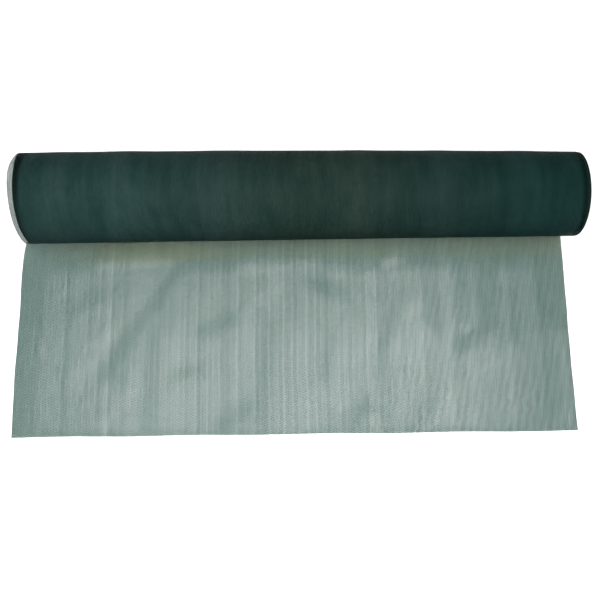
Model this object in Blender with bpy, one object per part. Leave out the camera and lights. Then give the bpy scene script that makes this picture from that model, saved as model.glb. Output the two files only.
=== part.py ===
"""A roll of knitted shade cloth, one metre wide, with its loose end laid out flat in front of it.

Metres, +Z up. The roll lies along X and the loose end runs towards -Y on the surface that
both rest on. The origin is the middle of the footprint, on that surface.

The cloth is one cut length. It is built as two solids that meet at the tangent line, where
the cloth leaves the surface: the wound form behind it and the loose end in front of it.
"""
import math

import bmesh
import bpy
from mathutils import Matrix, Vector

# The cloth
CLOTH_WIDTH = 1.000
LOOSE_LENGTH = 0.417
PLY = 0.0012
GAP = 0.0003
TURN_STEP = PLY + GAP

# The wound form. The cloth draws in a little under winding tension, and the winding lies
# a little to the right of the loose end. Both ends stand out least at the front.
WOUND_LEFT = -0.4697
WOUND_RIGHT = 0.5098
LEFT_END_LEAN = 0.0035
RIGHT_END_LEAN = 0.0014
END_LEAN_FROM = math.radians(200.0)
OUTER_PLY_LEFT = -0.4820
OUTER_PLY_RIGHT = 0.5052
OUTER_PLY_SLIP = 0.0092
SLIP_FROM = math.radians(150.0)
SLIP_TURN = math.radians(115.0)
TANGENT_LEFT = -0.4800
TANGENT_RIGHT = 0.5000
FLARE_TURN = math.radians(130.0)
RADIUS_LEFT = 0.0814
RADIUS_RIGHT = 0.0761
RADIUS_SWELL = 0.0009
# The winding is soft and leans forward towards its ends, by this much more at the right.
ENDS_LEAN = 0.0030
RIGHT_LEAN = 0.0012
FLAT_SPOT = 0.0120
FLAT_DEPTH = 0.0011
EYE_RADIUS = 0.0090
EYE_DEPTH = 0.0140

# Soft bands round the wound form, where the turns lie looser: (place along X, half width,
# how far the band stands out).
BANDS = (
    (-0.405, 0.040, 0.0006),
    (-0.290, 0.055, 0.0009),
    (-0.120, 0.070, 0.0007),
    (0.115, 0.045, 0.0008),
    (0.260, 0.040, 0.0006),
    (0.405, 0.050, 0.0007),
)

# The wound ends: (share of the radius, how far the turns there stand out of the end).
LEFT_TURNS = (
    (0.150, 0.0040),
    (0.250, 0.0054),
    (0.420, 0.0036),
    (0.610, 0.0050),
    (0.800, 0.0028),
    (0.930, 0.0010),
)
RIGHT_TURNS = (
    (0.150, 0.0020),
    (0.300, -0.0010),
    (0.470, 0.0016),
    (0.660, -0.0012),
    (0.820, 0.0012),
    (0.930, 0.0),
)
OUTER_PLY_SHARE = 0.970
OUTER_PLY_FOOT = 0.960
TURN_WANDER = 0.0007
WAVES_ROUND = 2.0
WAVES_OUTWARD = 9.0

# Soft folds of the loose end, most of which run from near left to far right:
# (near end x, y, far end x, y, half width, height), measured from the tangent line.
FOLDS = (
    (-0.312, -0.315, -0.288, -0.255, 0.036, 0.0005),
    (-0.337, -0.305, -0.266, -0.195, 0.024, 0.0013),
    (-0.266, -0.195, -0.196, -0.100, 0.022, 0.0012),
    (-0.160, -0.232, -0.116, -0.208, 0.028, 0.0010),
    (0.045, -0.142, 0.084, -0.158, 0.028, 0.0012),
    (0.305, -0.262, 0.358, -0.222, 0.026, 0.0013),
    (0.360, -0.220, 0.363, -0.120, 0.026, 0.0013),
    (0.318, -0.165, 0.316, -0.100, 0.024, 0.0011),
    (0.262, -0.240, 0.268, -0.120, 0.026, 0.0005),
    (0.404, -0.250, 0.410, -0.120, 0.030, 0.0007),
    (-0.262, -0.400, -0.258, -0.230, 0.024, 0.0008),
    (0.452, -0.215, 0.462, -0.105, 0.040, 0.0014),
    (0.440, -0.388, 0.468, -0.355, 0.026, 0.0007),
    (0.440, -0.330, 0.472, -0.288, 0.030, 0.0008),
    (-0.128, -0.397, -0.080, -0.371, 0.028, 0.0009),
    (0.092, -0.397, 0.132, -0.370, 0.028, 0.0008),
    (-0.400, -0.186, -0.362, -0.165, 0.024, 0.0009),
    (-0.207, -0.313, -0.170, -0.300, 0.024, 0.0006),
    (-0.480, -0.235, -0.462, -0.105, 0.040, 0.0015),
    (-0.490, -0.400, -0.486, -0.240, 0.028, 0.0009),
    (-0.066, -0.385, -0.036, -0.220, 0.026, 0.0005),
    (0.054, -0.312, 0.086, -0.205, 0.018, 0.0005),
    (0.150, -0.305, 0.197, -0.170, 0.018, 0.0005),
)
FOLD_FADE = 0.030
FOLDS_FROM = 0.050
FOLDS_RUN = 0.050
# Where it comes out from under the roll, the ply springs up a little.
SPRING_HEIGHT = 0.0028
SPRING_FROM = 0.030
SPRING_TOP = 0.075
SPRING_RUN = 0.055
EDGE_WANDER = 0.0009
EDGE_WAVES = 27.0
TAPER_LENGTH = 0.070

# Finish
WOUND_COLOUR = (0.016, 0.042, 0.034)
WOUND_ROUGHNESS = 0.62
PLY_COLOUR = (0.270, 0.350, 0.325)
PLY_ROUGHNESS = 0.70
SHARP_ANGLE = math.radians(40.0)

# How finely the solids are divided
ROUND_STEPS = 60
LENGTH_STEPS = 26
ACROSS_STEPS = 72
ALONG_STEPS = 30


def smooth_step(value):
    """0 below 0, 1 above 1, and an even rise between them."""
    value = min(max(value, 0.0), 1.0)
    return value * value * (3.0 - 2.0 * value)


def bump(distance, half_width):
    """1 in the middle, falling to 0 at the half width."""
    if abs(distance) >= half_width:
        return 0.0
    return math.cos(0.5 * math.pi * distance / half_width) ** 2


def side_edge(y, side):
    """X of the left (side -1) or right (side 1) selvedge, drawn in where it meets the roll."""
    full = 0.5 * CLOTH_WIDTH * side
    at_tangent = TANGENT_LEFT if side < 0.0 else TANGENT_RIGHT
    drawn_in = (at_tangent - full) * (1.0 - smooth_step(-y / TAPER_LENGTH))
    return full + drawn_in + EDGE_WANDER * math.sin(EDGE_WAVES * y)


def make_material(name, colour, roughness):
    material = bpy.data.materials.new(name)
    material.use_nodes = True
    shader = material.node_tree.nodes["Principled BSDF"]
    shader.inputs["Base Color"].default_value = (*colour, 1.0)
    shader.inputs["Roughness"].default_value = roughness
    shader.inputs["Metallic"].default_value = 0.0
    return material


def make_object(name, work, material):
    bmesh.ops.recalc_face_normals(work, faces=work.faces)
    mesh = bpy.data.meshes.new(name)
    work.to_mesh(mesh)
    work.free()
    mesh.shade_smooth()
    mesh.set_sharp_from_angle(angle=SHARP_ANGLE)
    mesh.materials.append(material)
    piece = bpy.data.objects.new(name, mesh)
    bpy.context.scene.collection.objects.link(piece)
    return piece


# The wound roll

def wound_radius(x):
    """The outer radius at x: a slight cone, fuller in the middle, with the soft bands."""
    share = (x - WOUND_LEFT) / (WOUND_RIGHT - WOUND_LEFT)
    radius = RADIUS_LEFT + (RADIUS_RIGHT - RADIUS_LEFT) * share
    radius += 4.0 * RADIUS_SWELL * share * (1.0 - share)
    for place, half_width, height in BANDS:
        radius += height * bump(x - place, half_width)
    return radius


def forward_lean(x):
    """How far the top of the winding leans forward at x: it is soft, and leans at its ends."""
    share = 2.0 * x / CLOTH_WIDTH
    return ENDS_LEAN * share * share + RIGHT_LEAN * share


def turn_angles():
    """Angles round the roll from the tangent line, back, over the top and down the front."""
    flat = math.asin(FLAT_SPOT / wound_radius(0.0))
    inner = [
        flat + (2.0 * math.pi - 2.0 * flat) * step / ROUND_STEPS
        for step in range(ROUND_STEPS + 1)
    ]
    return [0.0, *inner, 2.0 * math.pi]


def turn_point(x, angle, share):
    """A point of a turn, at a share of the outer radius.

    The outer ply starts on the surface at the tangent line. After one turn it comes down one
    step higher, on top of the loose end. The weight of the roll flattens both.
    """
    outer = wound_radius(x)
    radius = (outer - TURN_STEP * angle / (2.0 * math.pi)) * share
    floor_level = 0.0 if angle < math.pi else TURN_STEP
    height = max(outer - FLAT_DEPTH - radius * math.cos(angle), floor_level)
    y = radius * math.sin(angle) - forward_lean(x) * 0.5 * height / outer
    return Vector((x, y, height))


def end_lean(x, angle, share):
    """How far a turn of the wound ends stands aside from their plane."""
    lean = LEFT_END_LEAN if x < 0.0 else -RIGHT_END_LEAN
    return lean * share * math.sin(angle - END_LEAN_FROM)


def wound_ring(work, x, share, wander=0.0):
    """One closed ring of vertices. Wander moves it along X, unevenly round the turn."""
    ring = []
    for angle in turn_angles():
        point = turn_point(x, angle, share)
        point.x += end_lean(x, angle, share)
        point.x += wander * math.sin(WAVES_ROUND * angle + WAVES_OUTWARD * share)
        ring.append(work.verts.new(point))
    return ring


def outer_edge(side, angle):
    """X of the outer ply's left (side -1) or right (side 1) edge.

    At the tangent line it meets the loose end's selvedge, and draws in from there. The left
    edge slips to the right on its way down the front.
    """
    slip = OUTER_PLY_SLIP * smooth_step((angle - SLIP_FROM) / SLIP_TURN)
    drawn_in = OUTER_PLY_LEFT + slip if side < 0.0 else OUTER_PLY_RIGHT
    flare = side_edge(0.0, side) - drawn_in
    return drawn_in + flare * (1.0 - smooth_step(angle / FLARE_TURN))


def ply_ring(work, across, share):
    """One ring of the outer ply, at a share of the way across it from left to right."""
    ring = []
    for angle in turn_angles():
        left, right = outer_edge(-1.0, angle), outer_edge(1.0, angle)
        ring.append(work.verts.new(turn_point(left + (right - left) * across, angle, share)))
    return ring


def end_rings(work, end_x, outward, turns):
    """Rings of one end, from the eye in its middle out to the edge of the outer ply."""
    eye_share = EYE_RADIUS / wound_radius(end_x)
    rings = [
        wound_ring(work, end_x - outward * EYE_DEPTH, eye_share),
        wound_ring(work, end_x, eye_share),
    ]
    for share, stands_out in turns:
        rings.append(wound_ring(work, end_x + outward * stands_out, share, TURN_WANDER))
    rings.append(wound_ring(work, end_x, OUTER_PLY_FOOT))
    rings.append(ply_ring(work, 0.5 + 0.5 * outward, OUTER_PLY_SHARE))
    return rings


def build_wound_roll():
    work = bmesh.new()
    left = end_rings(work, WOUND_LEFT, -1.0, LEFT_TURNS)
    middle = [ply_ring(work, step / LENGTH_STEPS, 1.0) for step in range(LENGTH_STEPS + 1)]
    right = end_rings(work, WOUND_RIGHT, 1.0, RIGHT_TURNS)
    rings = [*left, *middle, *reversed(right)]
    for near, far in zip(rings, rings[1:]):
        for index in range(len(near)):
            after = (index + 1) % len(near)
            work.faces.new((near[index], near[after], far[after], far[index]))
    work.faces.new(rings[0])
    work.faces.new(rings[-1])
    cloth = make_material("wound shade cloth", WOUND_COLOUR, WOUND_ROUGHNESS)
    return make_object("wound_roll", work, cloth)


# The loose end

def fold_height(x, y, fold):
    """How far one fold lifts the cloth at x, y."""
    near_x, near_y, far_x, far_y, half_width, height = fold
    start = Vector((near_x, near_y))
    run = Vector((far_x, far_y)) - start
    offset = Vector((x, y)) - start
    along = offset.dot(run.normalized())
    aside = offset.cross(run.normalized())
    past_end = max(-along, along - run.length, 0.0)
    return height * bump(aside, half_width) * bump(past_end, FOLD_FADE)


def spring_height(y):
    """How far the ply springs up off the surface in front of the roll."""
    rise = smooth_step((-y - SPRING_FROM) / (SPRING_TOP - SPRING_FROM))
    return SPRING_HEIGHT * rise * (1.0 - smooth_step((-y - SPRING_TOP) / SPRING_RUN))


def cloth_height(x, y):
    """How far the underside of the loose end lies above the surface."""
    folds = max(fold_height(x, y, fold) for fold in FOLDS)
    return folds * smooth_step((-y - FOLDS_FROM) / FOLDS_RUN) + spring_height(y)


def cut_edge(x):
    """Y of the cut edge, which wanders a little."""
    return -LOOSE_LENGTH + EDGE_WANDER * math.sin(EDGE_WAVES * x)


def cloth_point(across, along, level):
    """A point of the loose end, from shares across and along it and a level in the ply."""
    y_straight = -GAP - (LOOSE_LENGTH - GAP) * along
    left, right = side_edge(y_straight, -1.0), side_edge(y_straight, 1.0)
    x = left + (right - left) * across
    y = -GAP + (cut_edge(x) + GAP) * along
    return Vector((x, y, cloth_height(x, y) + PLY * level))


def cloth_layer(work, level):
    """A grid of vertices and faces over the loose end, at a level in the ply."""
    layer = [
        [
            work.verts.new(cloth_point(across / ACROSS_STEPS, along / ALONG_STEPS, level))
            for across in range(ACROSS_STEPS + 1)
        ]
        for along in range(ALONG_STEPS + 1)
    ]
    for row, next_row in zip(layer, layer[1:]):
        for i in range(ACROSS_STEPS):
            work.faces.new((row[i], row[i + 1], next_row[i + 1], next_row[i]))
    return layer


def rim(layer):
    """The vertices round a layer's edge, in order."""
    near = layer[-1]
    right = [row[-1] for row in layer[:-1]]
    far = layer[0][:-1]
    left = [row[0] for row in layer[1:-1]]
    return [*near, *reversed(right), *reversed(far), *left]


def build_loose_end():
    work = bmesh.new()
    low = rim(cloth_layer(work, 0.0))
    high = rim(cloth_layer(work, 1.0))
    for index in range(len(low)):
        after = (index + 1) % len(low)
        work.faces.new((low[index], low[after], high[after], high[index]))
    cloth = make_material("single ply shade cloth", PLY_COLOUR, PLY_ROUGHNESS)
    return make_object("loose_end", work, cloth)


def centre_footprint(pieces):
    """Moves the meshes so that the middle of their footprint is at X 0, Y 0."""
    points = [vertex.co for piece in pieces for vertex in piece.data.vertices]
    middle_x = 0.5 * (min(p.x for p in points) + max(p.x for p in points))
    middle_y = 0.5 * (min(p.y for p in points) + max(p.y for p in points))
    shift = Matrix.Translation((-middle_x, -middle_y, 0.0))
    for piece in pieces:
        piece.data.transform(shift)
        piece.data.update()


for leftover in list(bpy.data.objects):
    bpy.data.objects.remove(leftover, do_unlink=True)
centre_footprint([build_wound_roll(), build_loose_end()])
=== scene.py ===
"""A roll of dark green knitted shade cloth, its loose end laid out flat in front of it.

The winding lies along X on a pale floor and the loose end runs towards -Y. Everything is in
metres, in the frame of the solids. The sections follow the cloth from the inner turns to the
cut edge of the loose end.
"""
import math

import bpy
import numpy as np
from mathutils import Matrix, Vector


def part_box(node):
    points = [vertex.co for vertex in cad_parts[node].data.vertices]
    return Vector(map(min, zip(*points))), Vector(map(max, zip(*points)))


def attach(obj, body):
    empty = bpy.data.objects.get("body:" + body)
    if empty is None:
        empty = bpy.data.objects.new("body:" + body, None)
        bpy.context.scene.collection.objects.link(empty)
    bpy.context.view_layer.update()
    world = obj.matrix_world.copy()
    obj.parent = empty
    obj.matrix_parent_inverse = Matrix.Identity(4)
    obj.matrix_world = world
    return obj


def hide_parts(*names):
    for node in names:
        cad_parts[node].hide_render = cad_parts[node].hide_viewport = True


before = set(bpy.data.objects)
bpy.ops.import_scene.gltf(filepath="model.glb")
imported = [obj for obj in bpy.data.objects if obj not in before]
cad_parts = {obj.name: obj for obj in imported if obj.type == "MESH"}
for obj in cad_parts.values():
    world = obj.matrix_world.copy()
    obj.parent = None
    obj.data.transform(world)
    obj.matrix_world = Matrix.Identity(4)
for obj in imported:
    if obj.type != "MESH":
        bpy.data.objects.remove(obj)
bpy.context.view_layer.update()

# The inner turns
# Some 115 turns of the one cloth, wound tight without a core, so that they read as one dense
# body. What shows of them through the open outer turn is the second turn: the same knit of
# polyethylene film tape, darker because it lies in the shade of the first, and with painted
# shade in the deep holes between its tapes.
TAU = 2.0 * math.pi
TANGENT_GAP = 0.0003
loose_low, loose_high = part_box("loose_end")
TANGENT_Y = loose_high.y + TANGENT_GAP
MIDDLE_X = 0.5 * (loose_low.x + loose_high.x)

CLOTH_WIDTH = 1.000
WALE_PITCH = 0.00525
COURSE_PITCH = 0.00145
TURN_PITCH = 0.00062
KNIT_HEIGHT = 0.00055
PLY_CLEARANCE = 0.3 * TURN_PITCH

WOUND_LEFT = -0.4697
WOUND_RIGHT = 0.5098
RADIUS_LEFT = 0.0814
RADIUS_RIGHT = 0.0761
RADIUS_SWELL = 0.0009
ENDS_LEAN = 0.0030
RIGHT_LEAN = 0.0012
FLAT_DEPTH = 0.0011
SQUEEZED_SHARE = 0.4
EYE_RADIUS = 0.0090
EYE_DEPTH = 0.040
END_RECESS = 0.009
ROUND_STEPS = 96
LENGTH_STEPS = 64

# Where the painted shade on the rims begins, and over what run.
RIM_SHADE_LEFT = -0.4575
RIM_SHADE_RIGHT = 0.4945
RIM_SHADE_RUN = 0.0080

# Soft bands, where the turns lie looser: (place along X, half width, how far it stands out).
BANDS = (
    (-0.405, 0.040, 0.0003),
    (-0.290, 0.055, 0.0005),
    (-0.120, 0.070, 0.0004),
    (0.115, 0.045, 0.0004),
    (0.260, 0.040, 0.0003),
    (0.405, 0.050, 0.0004),
)


def smooth_step(value):
    """0 below 0, 1 above 1, and an even rise between them."""
    value = np.clip(value, 0.0, 1.0)
    return value * value * (3.0 - 2.0 * value)


def bump(distance, half_width):
    """1 in the middle, falling to 0 at the half width."""
    return np.cos(0.5 * np.pi * np.clip(distance / half_width, -1.0, 1.0)) ** 2


def wound_radius(x):
    """The outer radius at x: a slight cone, fuller in the middle, with the soft bands."""
    share = (x - WOUND_LEFT) / (WOUND_RIGHT - WOUND_LEFT)
    radius = RADIUS_LEFT + (RADIUS_RIGHT - RADIUS_LEFT) * share
    radius = radius + 4.0 * RADIUS_SWELL * share * (1.0 - share)
    for place, half_width, height in BANDS:
        radius = radius + height * bump(x - place, half_width)
    return radius


def forward_lean(x):
    """How far the top of the winding leans forward at x: it is soft, and leans at its ends."""
    share = 2.0 * x / CLOTH_WIDTH
    return ENDS_LEAN * share * share + RIGHT_LEAN * share


def on_roll(x, angle, depth):
    """Points of the winding: x along it, angle from the tangent line up the back and over the
    top, depth in from the outer surface. The weight of the roll flattens the lowest turns."""
    outer = wound_radius(x)
    radius = outer - depth
    height = outer - FLAT_DEPTH - radius * np.cos(angle)
    on_loose_end = np.where(angle > np.pi, KNIT_HEIGHT + PLY_CLEARANCE, 0.0)
    height = np.maximum(height, on_loose_end + SQUEEZED_SHARE * depth)
    y = radius * np.sin(angle) - forward_lean(x) * 0.5 * height / outer
    return np.stack([MIDDLE_X + x, TANGENT_Y + y, height], axis=-1)


class Wire:
    """An output of a node, for use in Python expressions."""

    def __init__(self, graph, socket):
        self.graph = graph
        self.socket = socket

    def out(self, name):
        """Another output of the same node."""
        return Wire(self.graph, self.socket.node.outputs[name])

    def __add__(self, other):
        return self.graph.math("ADD", self, other)

    def __radd__(self, other):
        return self.graph.math("ADD", other, self)

    def __sub__(self, other):
        return self.graph.math("SUBTRACT", self, other)

    def __rsub__(self, other):
        return self.graph.math("SUBTRACT", other, self)

    def __mul__(self, other):
        return self.graph.math("MULTIPLY", self, other)

    def __rmul__(self, other):
        return self.graph.math("MULTIPLY", other, self)

    def __truediv__(self, other):
        return self.graph.math("DIVIDE", self, other)

    def __mod__(self, other):
        return self.graph.math("MODULO", self, other)


class Graph:
    """A node tree that is written as Python expressions."""

    def __init__(self, tree):
        self.tree = tree

    def add(self, kind, settings=None, inputs=None):
        """Adds a node of a type, with its settings and with a value or link for each input."""
        node = self.tree.nodes.new(kind)
        for name, value in (settings or {}).items():
            setattr(node, name, value)
        for key, value in (inputs or {}).items():
            named = [s for s in node.inputs if s.enabled and s.name == key]
            socket = node.inputs[key] if isinstance(key, int) else named[0]
            for part in value if isinstance(value, list) else [value]:
                if isinstance(part, Wire):
                    self.tree.links.new(part.socket, socket)
                else:
                    socket.default_value = part
        shown = [s for s in node.outputs if s.enabled]
        return Wire(self, shown[0]) if shown else None

    def math(self, operation, *values):
        """A Math node on wires and numbers."""
        return self.add("ShaderNodeMath", {"operation": operation}, dict(enumerate(values)))

    def limit(self, value, low, high):
        """A value kept between two numbers."""
        return self.math("MINIMUM", self.math("MAXIMUM", value, low), high)

    def ramp(self, value, start, end):
        """0 up to the start, 1 from the end on, and an even rise between them."""
        return self.limit((value - start) * (1.0 / (end - start)), 0.0, 1.0)

    def x_and_y(self, vector):
        """The first two parts of a vector."""
        x = self.add("ShaderNodeSeparateXYZ", None, {"Vector": vector})
        return x, x.out("Y")

    def attribute(self, name):
        """A value from 0 to 1 that is stored on the mesh."""
        return self.add("ShaderNodeAttribute", {"attribute_name": name}).out("Fac")

    def stretch(self, vector, scale):
        """Coordinates scaled by a different amount each way."""
        return self.add("ShaderNodeMapping", None, {"Vector": vector, "Scale": scale})

    def relief(self, height, strength, depth):
        """Normals that follow a height."""
        inputs = {"Height": height, "Strength": strength, "Distance": depth}
        return self.add("ShaderNodeBump", None, inputs)

    def mix(self, share, first, second):
        """A mix of two colours."""
        return self.add(
            "ShaderNodeMix",
            {"data_type": "RGBA"},
            {"Factor": share, "A": first, "B": second},
        )

    def noise(self, vector, scale, detail):
        """Soft noise with its middle at 0, about 1 deep from end to end."""
        inputs = {"Vector": vector, "Scale": scale, "Detail": detail}
        return self.add("ShaderNodeTexNoise", None, inputs) - 0.5


def new_shader(name):
    """A material with an empty tree. Returns it and its graph."""
    material = bpy.data.materials.new(name)
    material.use_nodes = True
    material.node_tree.nodes.clear()
    return material, Graph(material.node_tree)


def finish_shader(graph, shader):
    """Ends a material's tree with its shader."""
    graph.add("ShaderNodeOutputMaterial", None, {"Surface": shader})


def fill_mesh(name, points, faces, uv, material):
    """A piece from points and faces, with its cloth coordinates as its UV map."""
    mesh = bpy.data.meshes.new(name)
    mesh.from_pydata([tuple(p) for p in points], [], faces)
    mesh.update()
    layer = mesh.uv_layers.new(name="cloth")
    corners = np.zeros(len(mesh.loops), dtype=np.int32)
    mesh.loops.foreach_get("vertex_index", corners)
    layer.data.foreach_set("uv", uv[corners].astype(np.float32).ravel())
    mesh.shade_smooth()
    mesh.materials.append(material)
    piece = bpy.data.objects.new(name, mesh)
    bpy.context.scene.collection.objects.link(piece)
    return piece


# Colours of the tape, lit: where the winding backs it, and a painted shade for the deep holes
# between, which also darkens the rims.
TAPE_COLOUR = (0.0080, 0.0270, 0.0240, 1.0)
WORN_TAPE_COLOUR = (0.0180, 0.0430, 0.0390, 1.0)
DEEP_SHADE_COLOUR = (0.0030, 0.0090, 0.0078, 1.0)
# The left tint is lighter and the right one darker: painted light that falls off to the right. The
# rim tint is painted shade.
LIT_LEFT_TINT = (1.22, 1.08, 1.14, 1.0)
MIDDLE_TINT = (1.18, 0.84, 0.77, 1.0)
SHADED_RIGHT_TINT = (0.53, 0.73, 0.77, 1.0)
RIM_SHADE_TINT = (0.15, 0.20, 0.20, 1.0)
FILM_GLOSS = 0.03
# Where the hues and the painted light of the winding change into each other, along X: (from, to).
LIT_TEAL_TO_OLIVE = (-0.300, -0.022)
OLIVE_TO_SHADED = (0.100, 0.423)
# How far the pattern of the second turn wanders, and how steeply its tapes lean.
WALE_DRIFT = 0.002
COURSE_DRIFT = 0.003
TAPE_SLOPE = 0.35


def hue_and_shade_along(graph, across, colour):
    """The colour of the winding at a place along it: tealer and lighter at the left end, more
    olive in the middle, and darker at the right end, as painted light that falls off from left
    to right; and darkest on its two rims, where shade is painted."""
    tint_and_shade = graph.mix(graph.ramp(across, *LIT_TEAL_TO_OLIVE), LIT_LEFT_TINT, MIDDLE_TINT)
    tint_and_shade = graph.mix(graph.ramp(across, *OLIVE_TO_SHADED), tint_and_shade, SHADED_RIGHT_TINT)
    # Painted shade on the two rims.
    tint_and_shade = graph.mix(graph.attribute("rim"), tint_and_shade, RIM_SHADE_TINT)
    inputs = {0: colour, 1: tint_and_shade}
    return graph.add("ShaderNodeVectorMath", {"operation": "MULTIPLY"}, inputs)


def mark_winding(mesh):
    """Marks where a mesh of the winding is in a soft band and where on a rim of painted shade, 0
    to 1.
    """
    points = np.zeros(3 * len(mesh.vertices), dtype=np.float32)
    mesh.vertices.foreach_get("co", points)
    x = points[0::3] - MIDDLE_X
    # Painted shade near the two ends of the winding.
    left_rim_shade = smooth_step((RIM_SHADE_LEFT - x) / RIM_SHADE_RUN)
    right_rim_shade = smooth_step((x - RIM_SHADE_RIGHT) / RIM_SHADE_RUN)
    marks = {
        "band": sum(bump(x - place, half_width) for place, half_width, _ in BANDS),
        "rim": np.maximum(left_rim_shade, right_rim_shade),
    }
    for name, values in marks.items():
        layer = mesh.attributes.new(name, "FLOAT", "POINT")
        layer.data.foreach_set("value", values.astype(np.float32))


def film_surface(graph, colour, roughness, relief):
    """The nearly dull face of the film tape."""
    inputs = {
        "Base Color": colour,
        "Roughness": roughness,
        "Specular IOR Level": FILM_GLOSS,
        "Normal": relief,
    }
    return graph.add("ShaderNodeBsdfPrincipled", None, inputs)


def inner_turns_material():
    """The second turn as the outer turn's holes show it: wales, tapes across, and dark holes of
    painted shade.
    """
    material, graph = new_shader("inner turns")
    cloth = graph.add("ShaderNodeUVMap", {"uv_map": "cloth"})
    across, along = graph.x_and_y(cloth)
    drift = graph.noise(cloth, 30.0, 2.0)
    wale = graph.math("PINGPONG", across + WALE_DRIFT * drift, 0.5 * WALE_PITCH)
    lean = graph.math("PINGPONG", across, WALE_PITCH) * TAPE_SLOPE
    course = graph.math("PINGPONG", along + lean + COURSE_DRIFT * drift, 0.5 * COURSE_PITCH)
    chain = graph.ramp(wale * (2.0 / WALE_PITCH), 0.720, 0.887)
    tape = graph.ramp(course * (2.0 / COURSE_PITCH), 0.40, 0.65)
    solid = graph.math("MAXIMUM", chain, tape)
    mottle = graph.noise(cloth, 55.0, 4.0)
    worn = graph.limit(0.35 + 1.2 * mottle, 0.0, 1.0)
    tone = hue_and_shade_along(graph, across, graph.mix(worn, TAPE_COLOUR, WORN_TAPE_COLOUR))
    # The holes between the tapes are mixed towards the painted shade colour.
    colour = graph.mix(0.25 + solid * 0.75, DEEP_SHADE_COLOUR, tone)
    roughness = graph.limit(0.62 + 0.3 * mottle, 0.4, 0.9)
    relief = graph.relief(solid + chain * 0.5, 0.8, 0.0004)
    finish_shader(graph, film_surface(graph, colour, roughness, relief))
    return material


def inner_turns():
    """The dense body: a tube with a shallow eye at each end."""
    angles = np.linspace(0.0, TAU, ROUND_STEPS)
    left, right = WOUND_LEFT + END_RECESS, WOUND_RIGHT - END_RECESS
    turn_depth = TURN_PITCH * (1.1 + angles / TAU)
    rings = [(x, wound_radius(x) - EYE_RADIUS) for x in (left + EYE_DEPTH, left)]
    rings += [(x, turn_depth) for x in np.linspace(left, right, LENGTH_STEPS + 1)]
    rings += [(x, wound_radius(x) - EYE_RADIUS) for x in (right, right - EYE_DEPTH)]
    points, cloth = [], []
    for x, depth in rings:
        along = np.full_like(angles, x)
        points.append(on_roll(along, angles, depth))
        cloth.append(np.stack([along, angles * wound_radius(x)], axis=-1))
    count = ROUND_STEPS
    last_ring = (len(rings) - 1) * count
    faces = [tuple(range(count)), tuple(reversed(range(last_ring, last_ring + count)))]
    for near in range(0, last_ring, count):
        for index in range(count):
            after = (index + 1) % count
            far = near + count
            faces.append((near + index, far + index, far + after, near + after))
    return fill_mesh(
        "inner_turns", np.concatenate(points), faces, np.concatenate(cloth), inner_turns_material()
    )


winding = inner_turns()
mark_winding(winding.data)
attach(winding, "root")
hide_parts("wound_roll")

# The wound ends
# The selvedges of all the turns, edge on: each turn stands out a little more or less than
# the next, as the cloth wandered on its way onto the roll. The left end is a shallow dish
# inside the outer turn and the right end stands out past it.
TURN_DEPTH = 0.013
STRIP_THICKNESS = 0.00038
TURN_JITTER = 0.0006
TURN_SWAY = 0.21
MOST_TURNS = 140
POINTS_PER_TURN = 48
# From which share of the radius the painted shade on the rim of an end begins, and over what
# share.
END_RIM_SHADE_FROM = 0.75
END_RIM_SHADE_RUN = 0.15
# How far an end leans out to its lower front and, at the left, to its back.
LEFT_END_LEAN = 0.0050
RIGHT_END_LEAN = 0.0014
END_LEAN_FROM = math.radians(190.0)
LEFT_BACK_LEAN = 0.0040
BACK_ANGLE = math.radians(115.0)
BACK_TURN = math.radians(55.0)
# How far the turns of each end stand out: (share of the radius, distance).
LEFT_TURNS = (
    (0.150, 0.0040),
    (0.250, 0.0054),
    (0.420, 0.0036),
    (0.610, 0.0050),
    (0.800, 0.0028),
    (0.930, 0.0010),
    (1.000, 0.0),
)
RIGHT_TURNS = (
    (0.150, 0.0020),
    (0.300, -0.0010),
    (0.470, 0.0016),
    (0.660, -0.0012),
    (0.820, 0.0012),
    (0.930, 0.0),
    (1.000, 0.0),
)


def end_material():
    """Selvedges seen edge on: dark, a little dusty on the turns that stand out, and darker still
    with painted shade at their outer rims.
    """
    material, graph = new_shader("wound selvedges")
    place = graph.add("ShaderNodeTexCoord").out("Object")
    grain = graph.noise(place, 900.0, 2.0)
    patches = graph.noise(place, 40.0, 3.0)
    worn = graph.limit(0.40 + 1.1 * patches + 0.5 * grain, 0.0, 1.0)
    colour = graph.mix(worn, TAPE_COLOUR, WORN_TAPE_COLOUR)
    # Painted shade darkens the outer rim of each end.
    colour = graph.mix(graph.attribute("rim"), colour, DEEP_SHADE_COLOUR)
    roughness = graph.limit(0.66 + 0.3 * grain, 0.45, 0.9)
    relief = graph.relief(grain, 0.6, 0.0003)
    finish_shader(graph, film_surface(graph, colour, roughness, relief))
    return material


def new_tree(name, sockets):
    """A geometry tree with named inputs. Returns it, its graph and its inputs by name."""
    tree = bpy.data.node_groups.new(name, "GeometryNodeTree")
    for socket, kind in sockets.items():
        tree.interface.new_socket(name=socket, in_out="INPUT", socket_type="NodeSocket" + kind)
    tree.interface.new_socket(name="Geometry", in_out="OUTPUT", socket_type="NodeSocketGeometry")
    graph = Graph(tree)
    given = graph.add("NodeGroupInput")
    return tree, graph, {socket: given.out(socket) for socket in sockets}


def finish_tree(graph, geometry, material):
    """Ends a tree: its instances are realized and given their material."""
    geometry = graph.add("GeometryNodeRealizeInstances", None, {"Geometry": geometry})
    geometry = graph.add(
        "GeometryNodeSetMaterial", None, {"Geometry": geometry, "Material": material}
    )
    graph.add("NodeGroupOutput", None, {"Geometry": geometry})


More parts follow.
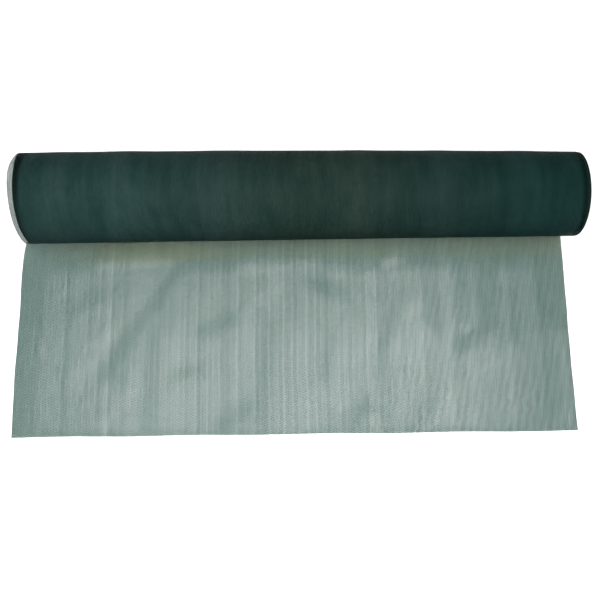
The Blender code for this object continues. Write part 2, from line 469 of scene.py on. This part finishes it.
def grow(name, tree, values):
    """Runs a tree on an empty object, which then keeps the result as a plain mesh."""
    piece = bpy.data.objects.new(name, bpy.data.meshes.new(name + " guide"))
    bpy.context.scene.collection.objects.link(piece)
    modifier = piece.modifiers.new("grow", "NODES")
    modifier.node_group = tree
    for item in tree.interface.items_tree:
        if item.in_out == "INPUT":
            modifier[item.identifier] = values[item.name]
    evaluated = piece.evaluated_get(bpy.context.evaluated_depsgraph_get())
    mesh = bpy.data.meshes.new_from_object(evaluated)
    piece.modifiers.remove(modifier)
    piece.data = mesh
    mesh.name = name
    return piece


def get_points(mesh):
    """The points of a mesh, one in a row."""
    points = np.zeros(3 * len(mesh.vertices), dtype=np.float32)
    mesh.vertices.foreach_get("co", points)
    return points.reshape(-1, 3).astype(float)


def put_points(mesh, points):
    """Moves the points of a mesh."""
    mesh.vertices.foreach_set("co", points.astype(np.float32).ravel())
    mesh.update()


def spiral_tree():
    """A flat strip, wound on edge from the outer turn in to the eye."""
    sockets = {
        "Outer Radius": "Float",
        "Eye Radius": "Float",
        "Turn Pitch": "Float",
        "Points Per Turn": "Int",
        "Strip Thickness": "Float",
        "Strip Depth": "Float",
        "Material": "Material",
    }
    tree, graph, given = new_tree("wound strip", sockets)
    turns = (given["Outer Radius"] - given["Eye Radius"]) / given["Turn Pitch"]
    spiral = graph.add(
        "GeometryNodeCurveSpiral",
        None,
        {
            "Resolution": given["Points Per Turn"],
            "Rotations": turns,
            "Start Radius": given["Outer Radius"],
            "End Radius": given["Eye Radius"],
            "Height": 0.0,
        },
    )
    section = graph.add(
        "GeometryNodeCurvePrimitiveQuadrilateral",
        None,
        {"Width": given["Strip Thickness"], "Height": given["Strip Depth"]},
    )
    strip = graph.add(
        "GeometryNodeCurveToMesh",
        None,
        {"Curve": spiral, "Profile Curve": section, "Fill Caps": True},
    )
    finish_tree(graph, strip, given["Material"])
    return tree


def end_turns(name, tree, material, end_x, outward, turns, seed):
    """One wound end: the flat strip is stood up, and its turns are pushed in and out."""
    outer = wound_radius(end_x) - 1.5 * TURN_PITCH
    values = {
        "Outer Radius": float(outer),
        "Eye Radius": EYE_RADIUS,
        "Turn Pitch": TURN_PITCH,
        "Points Per Turn": POINTS_PER_TURN,
        "Strip Thickness": STRIP_THICKNESS,
        "Strip Depth": TURN_DEPTH,
        "Material": material,
    }
    piece = grow(name, tree, values)
    flat = get_points(piece.data)
    radius = np.hypot(flat[:, 0], flat[:, 1])
    angle = np.arctan2(flat[:, 1], flat[:, 0]) % TAU
    turn = (outer - radius) / TURN_PITCH
    wander = np.random.default_rng(seed).normal(0.0, TURN_JITTER, MOST_TURNS)
    share = radius / outer
    shares, distances = np.array(turns).T
    out = np.interp(share, shares, distances)
    out += np.interp(turn, np.arange(MOST_TURNS), wander)
    out += TURN_JITTER * np.sin(2.0 * angle + TURN_SWAY * turn)
    end_lean = LEFT_END_LEAN if outward < 0.0 else RIGHT_END_LEAN
    back_lean = LEFT_BACK_LEAN if outward < 0.0 else 0.0
    out -= end_lean * share * np.sin(angle - END_LEAN_FROM)
    out += back_lean * share * bump(angle - BACK_ANGLE, BACK_TURN)
    x = end_x + outward * (out - 0.5 * TURN_DEPTH) + flat[:, 2]
    put_points(piece.data, on_roll(x, angle, wound_radius(x) - radius))
    # Painted shade on the outer rim of each end, kept on the mesh.
    rim = smooth_step((share - END_RIM_SHADE_FROM) / END_RIM_SHADE_RUN)
    layer = piece.data.attributes.new("rim", "FLOAT", "POINT")
    layer.data.foreach_set("value", rim.astype(np.float32))
    piece.data.shade_flat()
    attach(piece, "root")
    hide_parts("wound_roll")


wound_strip = spiral_tree()
selvedge_finish = end_material()
end_turns("left_end_turns", wound_strip, selvedge_finish, WOUND_LEFT, -1.0, LEFT_TURNS, 11)
end_turns("right_end_turns", wound_strip, selvedge_finish, WOUND_RIGHT, 1.0, RIGHT_TURNS, 12)

# The outer turn
# The last turn round the roll, one open ply over the dense ones: chains of stitches run round
# the roll, and flat tapes cross from chain to chain. It sticks out past the wound turns at
# the left end, where the floor shows through it.
OUTER_PLY_LEFT = -0.4820
OUTER_PLY_RIGHT = 0.5052
OUTER_PLY_SLIP = 0.0092
SLIP_FROM = math.radians(150.0)
SLIP_TURN = math.radians(115.0)
BACK_SLIP = 0.0038
TANGENT_LEFT = -0.4900
TANGENT_RIGHT = 0.5000
FLARE_TURN = math.radians(130.0)
OUTER_TURN_LENGTH = 0.4900
OUTER_STREAKS = 0.06
TAPE_WIDTH = 0.00120
TAPE_TAPER = 0.12
TAPE_LEAN = 0.10
TAPE_LIFT = 0.00022
TAPE_TILT = 0.04
TAPE_UNEVEN = 0.006
CHAIN_WIDTH = 0.00016
COURSES_PER_STITCH = 4
SELVEDGE_STEP = 0.32
KNIT_SEED = 5
# Where the kinds of streaks come and go across the cloth, from -0.5 to 0.5: (none, full).
STREAK_PERIOD = 0.0139
EVEN_STREAKS_LEFT = (-0.1500, -0.0250)
EVEN_STREAKS_RIGHT = (0.2071, 0.0643)
FLICKS_LEFT = (-0.2333, -0.4000)
# How the chains wander aside, as waves: (size, radians per metre across, and along).
KNIT_WAVES = (
    (0.00035, 9.0, 31.0),
    (0.00021, -37.0, 83.0),
    (0.000175, 173.0, 12.0),
)
THROUGH_COLOUR = (0.352, 0.480, 0.435, 1.0)
THROUGH_SHARE = 0.42


def knit_tree():
    """The flat knit: X across it from its middle, Y along it from one end."""
    sockets = {
        "Width": "Float",
        "Length": "Float",
        "Wales": "Int",
        "Courses": "Int",
        "Tape Width": "Float",
        "Tape Lift": "Float",
        "Chain Width": "Float",
        "Chain Height": "Float",
        "Streaks": "Float",
        "Streak Period": "Float",
        "Seed": "Int",
        "Material": "Material",
    }
    tree, graph, given = new_tree("knit", sockets)
    width, length, seed = given["Width"], given["Length"], given["Seed"]
    gaps = given["Wales"] - 1.0
    pitch = width / gaps
    course = length / given["Courses"]
    position = graph.add("GeometryNodeInputPosition")
    index = graph.add("GeometryNodeInputIndex")

    def vector(x, y, z):
        return graph.add("ShaderNodeCombineXYZ", None, {"X": x, "Y": y, "Z": z})

    def chance(low, high, key, offset):
        inputs = {"Min": low, "Max": high, "ID": key, "Seed": seed + float(offset)}
        return graph.add("FunctionNodeRandomValue", {"data_type": "FLOAT"}, inputs)

    def ribbon(lean):
        """One tape, which leans and narrows towards the chain where it turns, as an instance."""
        flat = graph.add(
            "GeometryNodeMeshGrid",
            None,
            {"Size X": pitch, "Size Y": given["Tape Width"], "Vertices X": 2, "Vertices Y": 2},
        )
        x, y = graph.x_and_y(position)
        reach = x / pitch
        leaned = y * (1.0 + TAPE_TAPER * lean * reach) + reach * course * lean * TAPE_LEAN
        placed = vector(x, leaned, given["Tape Lift"])
        shaped = graph.add(
            "GeometryNodeSetPosition", None, {"Geometry": flat, "Position": placed}
        )
        return graph.add("GeometryNodeGeometryToInstance", None, {"Geometry": shaped})

    cells = graph.add(
        "GeometryNodeMeshGrid",
        None,
        {
            "Size X": width - pitch,
            "Size Y": length - course,
            "Vertices X": gaps,
            "Vertices Y": given["Courses"],
        },
    )
    column = graph.math("FLOOR", (index + 0.5) / given["Courses"])
    row = index - column * given["Courses"]
    # Streaks, as wider and narrower tapes: even ones in the middle of the cloth, wales in
    # pairs to the left of it, short flicks at the left and faint single lines all over.
    x, y = graph.x_and_y(position)
    share = x / width
    middle = graph.ramp(share, *EVEN_STREAKS_LEFT)
    left = graph.ramp(share, *FLICKS_LEFT)
    even = graph.math("SINE", x * TAU / given["Streak Period"])
    even = even * middle * graph.ramp(share, *EVEN_STREAKS_RIGHT)
    patches = graph.noise(vector(x * 9.0, y * 7.0, 3.0), 1.0, 1.0)
    pairs = (1.0 - column % 2.0 * 2.0) * (0.55 + patches * 1.6)
    pairs = pairs * (1.0 - middle) * (0.75 - left * 0.35)
    flicks = graph.noise(vector(x / pitch * 0.9, y * 28.0, 7.0), 1.0, 2.0) * 2.6
    line = chance(-1.0, 1.0, graph.math("FLOOR", column * 0.5), 1)
    streak = 0.9 * even + pairs + flicks * (0.5 + 1.2 * left) + 0.7 * line
    fullness = 1.0 + given["Streaks"] * streak + chance(-TAPE_UNEVEN, TAPE_UNEVEN, index, 2)
    step = chance(-0.5, 0.5, column, 5)
    stepped = graph.add(
        "GeometryNodeSetPosition",
        None,
        {"Geometry": cells, "Offset": vector(0.0, step * course, 0.0)},
    )
    tapes = graph.add(
        "GeometryNodeInstanceOnPoints",
        None,
        {
            "Points": stepped,
            "Instance": graph.add(
                "GeometryNodeJoinGeometry", None, {"Geometry": [ribbon(1.0), ribbon(-1.0)]}
            ),
            "Pick Instance": True,
            "Instance Index": (column + row) % 2.0,
            "Rotation": graph.add(
                "FunctionNodeEulerToRotation",
                None,
                {"Euler": vector(chance(-TAPE_TILT, TAPE_TILT, index, 3), 0.0, 0.0)},
            ),
            "Scale": vector(1.0, graph.limit(fullness, 0.5, 1.6), 1.0),
        },
    )

    stitches = graph.math("FLOOR", given["Courses"] / COURSES_PER_STITCH) + 1.0
    chain = graph.add(
        "GeometryNodeMeshGrid",
        None,
        {
            "Size X": given["Chain Width"],
            "Size Y": length,
            "Vertices X": 3,
            "Vertices Y": stitches,
        },
    )
    x, y = graph.x_and_y(position)
    bead = 1.12 - 0.34 * ((index % stitches) % 2.0)
    ridge = 1.0 - graph.math("ABSOLUTE", x) * 2.0 / given["Chain Width"]
    chain = graph.add(
        "GeometryNodeSetPosition",
        None,
        {
            "Geometry": chain,
            "Position": vector(x * bead, y, given["Chain Height"] * (0.12 + 0.88 * ridge)),
        },
    )

    def wales(count, inset, step):
        """Points where chains stand: count of them, from an inset at the left selvedge."""
        return graph.add(
            "GeometryNodeMeshLine",
            {"mode": "OFFSET"},
            {
                "Count": count,
                "Start Location": vector(inset - width * 0.5, 0.0, 0.0),
                "Offset": vector(step, 0.0, 0.0),
            },
        )

    selvedge_step = SELVEDGE_STEP * pitch
    starts = [
        wales(given["Wales"], 0.0, pitch),
        wales(2, selvedge_step, width - 2.0 * selvedge_step),
    ]
    chains = graph.add(
        "GeometryNodeInstanceOnPoints",
        None,
        {
            "Points": graph.add("GeometryNodeJoinGeometry", None, {"Geometry": starts}),
            "Instance": chain,
            "Scale": vector(chance(0.85, 1.2, index, 4), 1.0, 1.0),
        },
    )
    knit = graph.add("GeometryNodeJoinGeometry", None, {"Geometry": [tapes, chains]})
    knit = graph.add(
        "GeometryNodeStoreNamedAttribute",
        {"data_type": "FLOAT", "domain": "INSTANCE"},
        {"Geometry": knit, "Name": "tone", "Value": chance(0.0, 1.0, index, 6)},
    )
    finish_tree(graph, knit, given["Material"])
    return tree


def film_light(graph, colour, relief):
    """The light that shows through the film tape."""
    return graph.add("ShaderNodeBsdfTranslucent", None, {"Color": colour, "Normal": relief})


def film_material(name, colour_of, light_of):
    """Polyethylene film tape: satin, a little streaky along the tape, and thin enough to let
    some green light through. One function gives its colour, worn or not, and one gives the
    light that comes through it and that light's share."""
    material, graph = new_shader(name)
    cloth = graph.add("ShaderNodeUVMap", {"uv_map": "cloth"})
    tone = graph.attribute("tone")
    patches = graph.noise(cloth, 22.0, 4.0)
    grain = graph.noise(graph.stretch(cloth, (300.0, 2600.0, 1.0)), 1.0, 2.0)
    worn = 0.12 + 0.3 * tone + 0.4 * graph.attribute("band") + patches
    colour = colour_of(graph, cloth, graph.limit(worn, 0.0, 1.0))
    roughness = graph.limit(0.55 + 0.25 * grain + 0.1 * tone, 0.35, 0.85)
    relief = graph.relief(grain, 0.5, 0.0002)
    film = film_surface(graph, colour, roughness, relief)
    light, share = light_of(graph, cloth, relief)
    finish_shader(graph, graph.add("ShaderNodeMixShader", None, {0: share, 1: film, 2: light}))
    return material


def wound_colour(graph, cloth, worn):
    """The film round the roll: worn in rings, and in the hues along the winding, with their
    painted light and painted rim shade.
    """
    across, _ = graph.x_and_y(cloth)
    rings = graph.noise(graph.stretch(cloth, (55.0, 9.0, 1.0)), 1.0, 2.0)
    worn = graph.limit(worn + 1.8 * rings, 0.0, 1.0)
    return hue_and_shade_along(graph, across, graph.mix(worn, TAPE_COLOUR, WORN_TAPE_COLOUR))


def even_light(graph, cloth, relief):
    """The light through the film round the roll, which is the same all over."""
    return film_light(graph, THROUGH_COLOUR, relief), THROUGH_SHARE


def knit_values(width, length, streaks, material):
    """The knit tree's inputs for a panel. The gauge is the same all over the cloth."""
    return {
        "Width": width,
        "Length": length,
        "Wales": round(width / WALE_PITCH) + 1,
        "Courses": COURSES_PER_STITCH * round(length / (COURSES_PER_STITCH * COURSE_PITCH)),
        "Tape Width": TAPE_WIDTH,
        "Tape Lift": TAPE_LIFT,
        "Chain Width": CHAIN_WIDTH,
        "Chain Height": KNIT_HEIGHT,
        "Streaks": streaks,
        "Streak Period": STREAK_PERIOD,
        "Seed": KNIT_SEED,
        "Material": material,
    }


def lay_knit(piece, place):
    """Lays a flat knit in its place and keeps its flat coordinates as its UV map."""
    mesh = piece.data
    across, along, height = get_points(mesh).T
    layer = mesh.uv_layers.new(name="cloth")
    corners = np.zeros(len(mesh.loops), dtype=np.int32)
    mesh.loops.foreach_get("vertex_index", corners)
    flat = np.stack([across, along], axis=-1)
    layer.data.foreach_set("uv", flat[corners].astype(np.float32).ravel())
    wander = sum(
        size * np.sin(rate_across * across + rate_along * along)
        for size, rate_across, rate_along in KNIT_WAVES
    )
    put_points(mesh, place(across + wander, along, height))
    mesh.shade_smooth()


def outer_edge(side, angle):
    """X of the outer ply's left or right edge. It draws in from the loose end's selvedge, and
    the left edge slips to the right at the back and on its way down the front."""
    slip = OUTER_PLY_SLIP * smooth_step((angle - SLIP_FROM) / SLIP_TURN)
    slip = slip + BACK_SLIP * bump(angle - BACK_ANGLE, BACK_TURN)
    drawn_in = OUTER_PLY_LEFT + slip if side < 0.0 else OUTER_PLY_RIGHT
    at_tangent = TANGENT_LEFT if side < 0.0 else TANGENT_RIGHT
    return drawn_in + (at_tangent - drawn_in) * (1.0 - smooth_step(angle / FLARE_TURN))


def round_the_roll(across, along, height):
    """Where a point of the outer turn lies."""
    angle = TAU * along / OUTER_TURN_LENGTH + math.pi
    left, right = outer_edge(-1.0, angle), outer_edge(1.0, angle)
    x = left + (right - left) * (across / CLOTH_WIDTH + 0.5)
    return on_roll(x, angle, TURN_PITCH * angle / TAU + KNIT_HEIGHT - height)


knit = knit_tree()
outer_film = film_material("outer turn film", wound_colour, even_light)
outer_values = knit_values(CLOTH_WIDTH, OUTER_TURN_LENGTH, OUTER_STREAKS, outer_film)
outer_turn = grow("outer_turn_knit", knit, outer_values)
lay_knit(outer_turn, round_the_roll)
outer_turn.data.flip_normals()
mark_winding(outer_turn.data)
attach(outer_turn, "root")
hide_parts("wound_roll")

# The loose end
# One open ply of the same knit, laid flat on the floor from under the roll to its cut edge.
# It is cut straight across, not hemmed, and lies with a few soft folds from the winding.
LOOSE_LENGTH = 0.417
LOOSE_STREAKS = 0.030
TAPER_LENGTH = 0.130
EDGE_WANDER = 0.0006
EDGE_WAVES = 27.0
# The cut: tapes are trimmed straight there, and the threads end a little unevenly.
CUT_TRIM = 0.0005
TRIM_RUN = 0.006
FRAY = 0.0001
FRAY_RUN = 0.012
FRAY_SEED = 8
THREADS = 400
# Streaks that lean, in the right part: how they come in across the cloth (none, full).
STREAK_LEAN = math.radians(13.0)
STREAK_DEPTH = 0.17
STREAK_WANDER = 0.017
LEAN_COMES_IN = (0.040, 0.240)
LEANING_STREAKS = (0.0467, 0.2133)
# The olive tinge of painted shade in front of the roll: across the cloth, along it from its
# middle, and the place and half widths (none, full) of the patch where it reaches further.
SHADE_OLIVE_THROUGH_COLOUR = (0.395, 0.460, 0.300, 1.0)
SHADE_TINGE_ACROSS = (-0.475, -0.350)
SHADE_TINGE_ALONG = (0.1095, 0.1228)
SHADE_TINGE_PATCH = -0.290
SHADE_TINGE_PATCH_WIDTHS = (0.150, 0.050)
SHADE_TINGE_PATCH_REACH = 0.006
SHADE_TINGE_WANDER = 0.010
# Soft folds: (near end x, y, far end x, y, half width, height).
FOLDS = (
    (-0.312, -0.315, -0.288, -0.255, 0.036, 0.0003),
    (-0.337, -0.305, -0.266, -0.195, 0.028, 0.0008),
    (-0.266, -0.195, -0.196, -0.100, 0.026, 0.0008),
    (-0.160, -0.232, -0.116, -0.208, 0.028, 0.0006),
    (0.045, -0.142, 0.084, -0.158, 0.028, 0.0007),
    (0.305, -0.262, 0.358, -0.222, 0.026, 0.0009),
    (0.354, -0.220, 0.357, -0.120, 0.028, 0.0010),
    (0.316, -0.205, 0.316, -0.100, 0.024, 0.0006),
    (0.262, -0.240, 0.268, -0.120, 0.026, 0.0003),
    (0.404, -0.250, 0.410, -0.120, 0.030, 0.0003),
    (-0.262, -0.400, -0.258, -0.230, 0.024, 0.0005),
    (0.470, -0.220, 0.474, -0.082, 0.046, 0.0014),
    (0.440, -0.388, 0.468, -0.355, 0.026, 0.0004),
    (0.446, -0.330, 0.474, -0.288, 0.030, 0.0003),
    (-0.128, -0.397, -0.080, -0.371, 0.028, 0.0005),
    (0.092, -0.397, 0.132, -0.370, 0.028, 0.0005),
    (-0.400, -0.186, -0.362, -0.165, 0.024, 0.0005),
    (-0.207, -0.313, -0.170, -0.300, 0.024, 0.0004),
    (-0.488, -0.230, -0.474, -0.082, 0.044, 0.0015),
    (-0.490, -0.400, -0.486, -0.240, 0.028, 0.0006),
    (-0.066, -0.385, -0.036, -0.220, 0.026, 0.0003),
    (0.054, -0.312, 0.086, -0.205, 0.018, 0.0003),
    (0.150, -0.305, 0.197, -0.170, 0.018, 0.0003),
    (0.208, -0.410, 0.232, -0.372, 0.028, 0.0003),
    (-0.226, -0.225, -0.214, -0.190, 0.026, 0.0003),
    (-0.320, -0.145, -0.180, -0.145, 0.028, 0.0002),
)
FOLD_FADE = 0.030
FOLDS_FROM = 0.050
FOLDS_RUN = 0.050
# Where it comes out from under the roll, the ply springs up a little.
SPRING_HEIGHT = 0.0028
SPRING_FROM = 0.030
SPRING_TOP = 0.075
SPRING_RUN = 0.055
# Places where it lies flattest, in the same form, with how far it sinks.
PRESSED = (
    (-0.352, -0.100, -0.230, -0.096, 0.026, 0.0015),
    (-0.085, -0.104, 0.045, -0.100, 0.030, 0.0012),
    (0.176, -0.100, 0.188, -0.098, 0.024, 0.0017),
    (-0.050, -0.168, -0.030, -0.140, 0.026, 0.0003),
    (-0.087, -0.290, -0.085, -0.200, 0.012, 0.0003),
    (0.150, -0.140, 0.176, -0.116, 0.030, 0.0002),
    (0.070, -0.120, 0.082, -0.116, 0.022, 0.0002),
    (0.215, -0.200, 0.224, -0.190, 0.022, 0.0003),
    (0.214, -0.278, 0.242, -0.244, 0.030, 0.0004),
    (0.268, -0.142, 0.276, -0.132, 0.024, 0.0002),
    (-0.388, -0.320, -0.340, -0.245, 0.034, 0.0003),
    (-0.442, -0.400, -0.430, -0.245, 0.032, 0.0002),
    (0.388, -0.395, 0.402, -0.270, 0.036, 0.0003),
    (0.490, -0.400, 0.488, -0.270, 0.030, 0.0003),
    (0.358, -0.302, 0.396, -0.276, 0.028, 0.0003),
    (0.400, -0.142, 0.410, -0.100, 0.022, 0.0003),
    (0.000, -0.360, 0.008, -0.250, 0.022, 0.0003),
    (-0.004, -0.410, 0.048, -0.350, 0.034, 0.0004),
    (0.114, -0.284, 0.136, -0.240, 0.016, 0.0002),
    (0.164, -0.288, 0.180, -0.255, 0.016, 0.0002),
    (0.250, -0.400, 0.276, -0.365, 0.020, 0.0002),
    (-0.336, -0.402, -0.296, -0.345, 0.018, 0.0002),
)
FLOOR_CLEARANCE = 0.0005
LEAST_CLEARANCE = 0.00002
UNDER_ROLL = 0.020
SETTLED = 0.65
SETTLED_FROM = 0.14
SETTLED_RUN = 0.13
SIDE_LIFT = 0.0005
SIDE_RUN = 0.26
CUT_LIFT = 0.0004
CUT_LIFT_FROM = 0.400
CUT_LIFT_RUN = 0.014


def plain_colour(graph, cloth, worn):
    """The film of the single ply: in its own colour, worn or not."""
    return graph.mix(worn, TAPE_COLOUR, WORN_TAPE_COLOUR)


def streaked_light(graph, cloth, relief):
    """The light through the single ply: tinged olive just in front of the roll as painted shade,
    and in the right part a little more and less of it in soft streaks that lean."""
    across, along = graph.x_and_y(cloth)
    slow = graph.noise(cloth, 7.0, 1.0)
    # The olive tinge is painted shade: a tint of the light through the ply where the roll shades
    # it.
    shade_patch = graph.ramp(graph.math("ABSOLUTE", across - SHADE_TINGE_PATCH), *SHADE_TINGE_PATCH_WIDTHS)
    reach = along + SHADE_TINGE_PATCH_REACH * shade_patch + SHADE_TINGE_WANDER * slow
    shade_tinge = graph.ramp(reach, *SHADE_TINGE_ALONG) * graph.ramp(across, *SHADE_TINGE_ACROSS)
    shade_tinge = shade_tinge * graph.limit(0.55 + 1.2 * slow + 0.4 * shade_patch, 0.1, 0.9)
    plain_light = film_light(graph, THROUGH_COLOUR, relief)
    shade_olive_light = film_light(graph, SHADE_OLIVE_THROUGH_COLOUR, relief)
    light = graph.add("ShaderNodeMixShader", None, {0: shade_tinge, 1: plain_light, 2: shade_olive_light})
    lean = graph.ramp(across, *LEAN_COMES_IN) * math.tan(STREAK_LEAN)
    slanted = across - along * lean + STREAK_WANDER * graph.noise(cloth, 62.0, 2.0)
    even = graph.math("SINE", slanted * (TAU / STREAK_PERIOD))
    place = {"X": slanted * (2.6 / STREAK_PERIOD), "Y": along * 24.0}
    uneven = graph.noise(graph.add("ShaderNodeCombineXYZ", None, place), 1.0, 0.0)
    depth = graph.ramp(across, *LEANING_STREAKS) * graph.limit(0.8 - along * 2.5, 0.6, 1.2)
    depth = depth * (0.95 + 1.8 * graph.noise(cloth, 18.0, 1.0))
    streaks = depth * (0.85 * even + 2.0 * uneven)
    return light, THROUGH_SHARE * (1.0 + STREAK_DEPTH * streaks)


def side_edge(y, side):
    """X of the loose end's left (side -1) or right (side 1) selvedge."""
    full = 0.5 * CLOTH_WIDTH * side
    at_tangent = TANGENT_LEFT if side < 0.0 else TANGENT_RIGHT
    return full + (at_tangent - full) * (1.0 - smooth_step(-y / TAPER_LENGTH))


def fold_height(x, y, fold):
    """How far one fold lifts the cloth at x, y."""
    near_x, near_y, far_x, far_y, half_width, height = fold
    length = math.hypot(far_x - near_x, far_y - near_y)
    run_x, run_y = (far_x - near_x) / length, (far_y - near_y) / length
    along = (x - near_x) * run_x + (y - near_y) * run_y
    aside = (x - near_x) * run_y - (y - near_y) * run_x
    past_end = np.maximum(np.maximum(-along, along - length), 0.0)
    return height * bump(aside, half_width) * bump(past_end, FOLD_FADE)


def spring_height(y):
    """How far the ply springs up off the floor in front of the roll."""
    rise = smooth_step((-y - SPRING_FROM) / (SPRING_TOP - SPRING_FROM))
    return SPRING_HEIGHT * rise * (1.0 - smooth_step((-y - SPRING_TOP) / SPRING_RUN))


def cloth_height(x, y):
    """How far the underside of the loose end lies above the floor."""
    folds = np.max([fold_height(x, y, fold) for fold in FOLDS], axis=0)
    pressed = np.max([fold_height(x, y, place) for place in PRESSED], axis=0)
    folds = folds * smooth_step((-y - FOLDS_FROM) / FOLDS_RUN)
    middle = smooth_step((0.5 * CLOTH_WIDTH - np.abs(x)) / SIDE_RUN)
    settled = SETTLED * smooth_step((-y - SETTLED_FROM) / SETTLED_RUN) * middle
    clearance = FLOOR_CLEARANCE * (1.0 - settled) + SIDE_LIFT * (1.0 - middle) ** 2
    clearance = clearance + CUT_LIFT * smooth_step((-y - CUT_LIFT_FROM) / CUT_LIFT_RUN)
    clearance = clearance * smooth_step(-y / UNDER_ROLL)
    return folds + spring_height(y) + clearance - pressed


def over_the_floor(across, along, height):
    """Where a point of the loose end lies."""
    from_cut = along + 0.5 * LOOSE_LENGTH
    from_cut = from_cut - CUT_TRIM * (1.0 - smooth_step(from_cut / TRIM_RUN))
    y_straight = np.maximum(from_cut, 0.0) - LOOSE_LENGTH
    edge = EDGE_WANDER * np.sin(EDGE_WAVES * y_straight)
    left, right = side_edge(y_straight, -1.0) + edge, side_edge(y_straight, 1.0) + edge
    x = left + (right - left) * (across / CLOTH_WIDTH + 0.5)
    cut = -LOOSE_LENGTH + EDGE_WANDER * np.sin(EDGE_WAVES * x)
    y = cut * (y_straight / -LOOSE_LENGTH)
    at_cut = smooth_step(1.0 - (y_straight + LOOSE_LENGTH) / FRAY_RUN)
    thread = across / WALE_PITCH + 0.5 * THREADS
    ends = np.random.default_rng(FRAY_SEED).normal(0.0, FRAY, THREADS)
    y = y + at_cut * np.interp(thread, np.arange(THREADS), ends)
    z = np.maximum(cloth_height(x, y), LEAST_CLEARANCE) + height
    return np.stack([MIDDLE_X + x, TANGENT_Y + y, z], axis=-1)


loose_film = film_material("loose end film", plain_colour, streaked_light)
loose_values = knit_values(CLOTH_WIDTH, LOOSE_LENGTH, LOOSE_STREAKS, loose_film)
loose_end = grow("loose_end_knit", knit, loose_values)
lay_knit(loose_end, over_the_floor)
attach(loose_end, "root")
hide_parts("loose_end")

# The floor
# A plain white studio floor, painted matt.
FLOOR_SIZE = 12.0
FLOOR_COLOUR = (0.92, 0.92, 0.92, 1.0)
PALE_FLOOR_COLOUR = (0.94, 0.94, 0.94, 1.0)


def floor_material():
    """Matt white paint, very slightly uneven."""
    material, graph = new_shader("floor")
    place = graph.add("ShaderNodeTexCoord").out("Object")
    shade = graph.limit(0.5 + graph.noise(place, 2.0, 2.0), 0.0, 1.0)
    colour = graph.mix(shade, FLOOR_COLOUR, PALE_FLOOR_COLOUR)
    shader = graph.add(
        "ShaderNodeBsdfPrincipled",
        None,
        {"Base Color": colour, "Roughness": 0.9, "Specular IOR Level": 0.1},
    )
    finish_shader(graph, shader)
    return material


half = 0.5 * FLOOR_SIZE
floor_mesh = bpy.data.meshes.new("floor")
floor_mesh.from_pydata(
    [(-half, -half, 0.0), (half, -half, 0.0), (half, half, 0.0), (-half, half, 0.0)],
    [],
    [(0, 1, 2, 3)],
)
floor_mesh.materials.append(floor_material())
floor = bpy.data.objects.new("floor", floor_mesh)
bpy.context.scene.collection.objects.link(floor)

# The light
# A white studio: even light from all round, and one large soft lamp high over the cloth, a
# little to the camera's side of it.
SKY_STRENGTH = 0.75
LAMP_SIZE = 1.2
LAMP_PLACE = (-0.10, -0.45, 1.7)
LAMP_POWER = 58.0

world = bpy.data.worlds.new("studio")
world.use_nodes = True
sky = world.node_tree.nodes["Background"]
sky.inputs["Color"].default_value = (1.0, 1.0, 1.0, 1.0)
sky.inputs["Strength"].default_value = SKY_STRENGTH
bpy.context.scene.world = world

lamp_data = bpy.data.lights.new("lamp", "AREA")
lamp_data.shape = "SQUARE"
lamp_data.size = LAMP_SIZE
lamp_data.energy = LAMP_POWER
lamp = bpy.data.objects.new("lamp", lamp_data)
bpy.context.scene.collection.objects.link(lamp)
lamp.location = LAMP_PLACE
lamp.rotation_euler = (-Vector(LAMP_PLACE)).to_track_quat("-Z", "Y").to_euler()

# The camera
# It looks steeply down on the cloth from the loose end's side, from a standing person's
# eye height.
CAMERA_PITCH = math.radians(76.79)
CAMERA_YAW = math.radians(0.85)
CAMERA_ROLL = math.radians(-0.13)
CAMERA_FROM_TANGENT = Vector((0.0077, -0.509, 1.4288))
LENS_LENGTH = 48.0
SENSOR_WIDTH = 36.0

camera_data = bpy.data.cameras.new("camera")
camera_data.lens = LENS_LENGTH
camera_data.sensor_width = SENSOR_WIDTH
camera = bpy.data.objects.new("camera", camera_data)
bpy.context.scene.collection.objects.link(camera)
turn = Matrix.Rotation(-CAMERA_YAW, 4, "Z") @ Matrix.Rotation(0.5 * math.pi - CAMERA_PITCH, 4, "X")
turn = turn @ Matrix.Rotation(-CAMERA_ROLL, 4, "Z")
place = Vector((MIDDLE_X, TANGENT_Y, 0.0)) + CAMERA_FROM_TANGENT
camera.matrix_world = Matrix.Translation(place) @ turn
bpy.context.scene.camera = camera
bpy.context.scene.view_settings.view_transform = "Standard"
